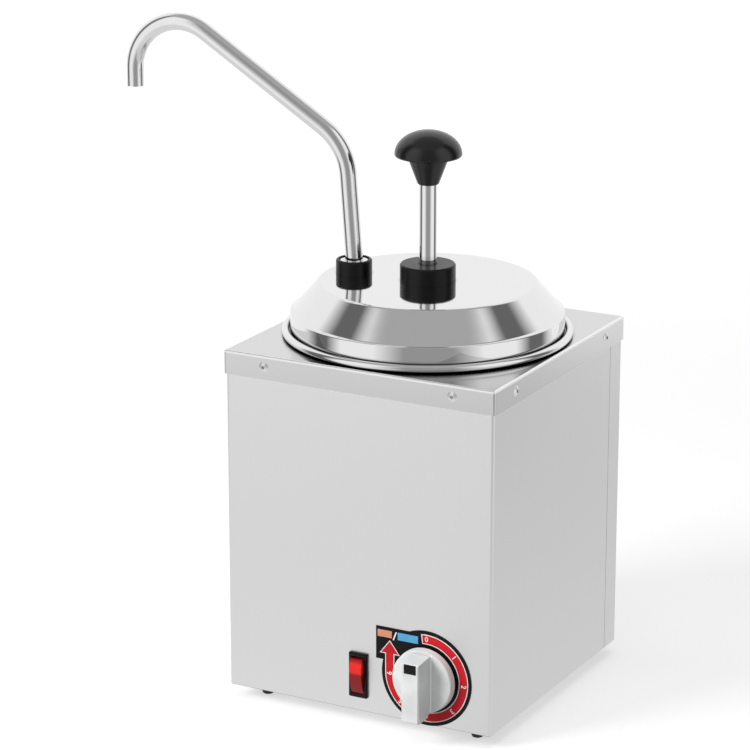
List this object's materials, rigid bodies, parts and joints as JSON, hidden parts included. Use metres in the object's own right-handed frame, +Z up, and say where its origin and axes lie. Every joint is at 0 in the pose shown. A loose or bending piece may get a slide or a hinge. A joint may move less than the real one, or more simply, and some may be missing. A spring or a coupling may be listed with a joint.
{
  "type": "hot fudge topping warmer",
  "caption": "Square steel countertop warmer for hot fudge topping, with a heated well, a lift-out pot and a lid that carries a hand pump with a swan-neck spout.",
  "frame": {"origin": "on the pump plunger's axis, in the plane that the four feet stand on", "axes": "+Z up, -Y to the front panel with the dial and the switch, +X to the right seen from the front"},
  "size_m": [0.3212, 0.2311, 0.4516],
  "materials": {
    "cabinet_steel": "fine satin",
    "plated_steel": "bright zinc plate",
    "black_rubber": "matt",
    "heater_sheath": "heat tinted",
    "copper": "plain copper",
    "black_plastic": "fine satin",
    "white_plastic": "satin",
    "brass": "plain",
    "printed_plate": "printed, satin",
    "grey_plastic": "satin",
    "red_plastic": "gloss",
    "polished_steel": "mirror polished",
    "grey_rubber": "matt"
  },
  "bodies": {
    "cabinet": {"body_wrapper": "cabinet_steel", "rear_panel": "cabinet_steel", "top_cover": "cabinet_steel", "cover_rivets": "plated_steel", "base_plate": "cabinet_steel", "base_screws": "plated_steel", "feet": "black_rubber", "foot_screws": "plated_steel", "well_tank": "cabinet_steel", "heating_element": "heater_sheath", "heater_clamp": "plated_steel", "heater_nut": "plated_steel", "sensor_bulb": "copper", "bulb_clips": "plated_steel", "thermal_cutout": "black_plastic", "terminal_block": "white_plastic", "earth_stud": "brass", "cable_bushing": "black_plastic", "thermostat_body": "plated_steel", "thermostat_screws": "plated_steel", "switch_housing": "black_plastic", "dial_plate": "printed_plate"},
    "dial": {"dial_knob": "grey_plastic", "knob_insert": "black_plastic", "thermostat_shaft": "plated_steel"},
    "rocker": {"rocker": "red_plastic"},
    "pot": {"inset_pot": "polished_steel"},
    "lid": {"lid": "polished_steel", "locking_collar": "black_plastic", "lid_gasket": "grey_rubber", "pump_column": "polished_steel", "pump_cylinder": "polished_steel", "valve_body": "polished_steel", "ball_stop_pin": "plated_steel", "return_spring": "plated_steel", "discharge_tube": "polished_steel", "tube_stop_pin": "plated_steel", "discharge_locknut": "plated_steel", "spout_nut": "black_plastic"},
    "spout": {"spout_pipe": "polished_steel", "spout_ferrule": "polished_steel", "spout_seal": "grey_rubber"},
    "plunger": {"plunger_rod": "polished_steel", "plunger_knob": "black_plastic", "piston": "white_plastic", "piston_seal": "grey_rubber", "piston_nut": "plated_steel"},
    "inlet_ball": {"inlet_ball": "polished_steel"},
    "outlet_ball": {"outlet_ball": "polished_steel"}
  },
  "joints": [
    {"name": "dial_turn", "type": "hinge", "parent": "cabinet", "child": "dial", "pos_m": [0.0516, -0.099, 0.0424], "axis": [0, 1, 0], "range_deg": [0, 300]},
    {"name": "rocker_tilt", "type": "hinge", "parent": "cabinet", "child": "rocker", "pos_m": [0.001, -0.098, 0.0353], "axis": [1, 0, 0], "range_deg": [-14, 0]},
    {"name": "pot_lift", "type": "slide", "parent": "cabinet", "child": "pot", "axis": [0, 0, 1], "range_m": [0, 0.17]},
    {"name": "lid_lift", "type": "slide", "parent": "pot", "child": "lid", "axis": [0, 0, 1], "range_m": [0, 0.18]},
    {"name": "plunger_slide", "type": "slide", "parent": "lid", "child": "plunger", "axis": [0, 0, -1], "range_m": [0, 0.045], "stiffness_N_per_m": 450, "springref_m": -0.034, "deforming": ["return_spring"]},
    {"name": "spout_swivel", "type": "hinge", "parent": "lid", "child": "spout", "pos_m": [-0.05323, -0.00541, 0.2834], "axis": [0, 0, 1], "range_deg": [-120, 120]},
    {"name": "inlet_ball_lift", "type": "slide", "parent": "lid", "child": "inlet_ball", "axis": [0, 0, 1], "range_m": [0, 0.003]},
    {"name": "outlet_ball_lift", "type": "slide", "parent": "lid", "child": "outlet_ball", "axis": [0, 0, 1], "range_m": [0, 0.0025]}
  ]
}
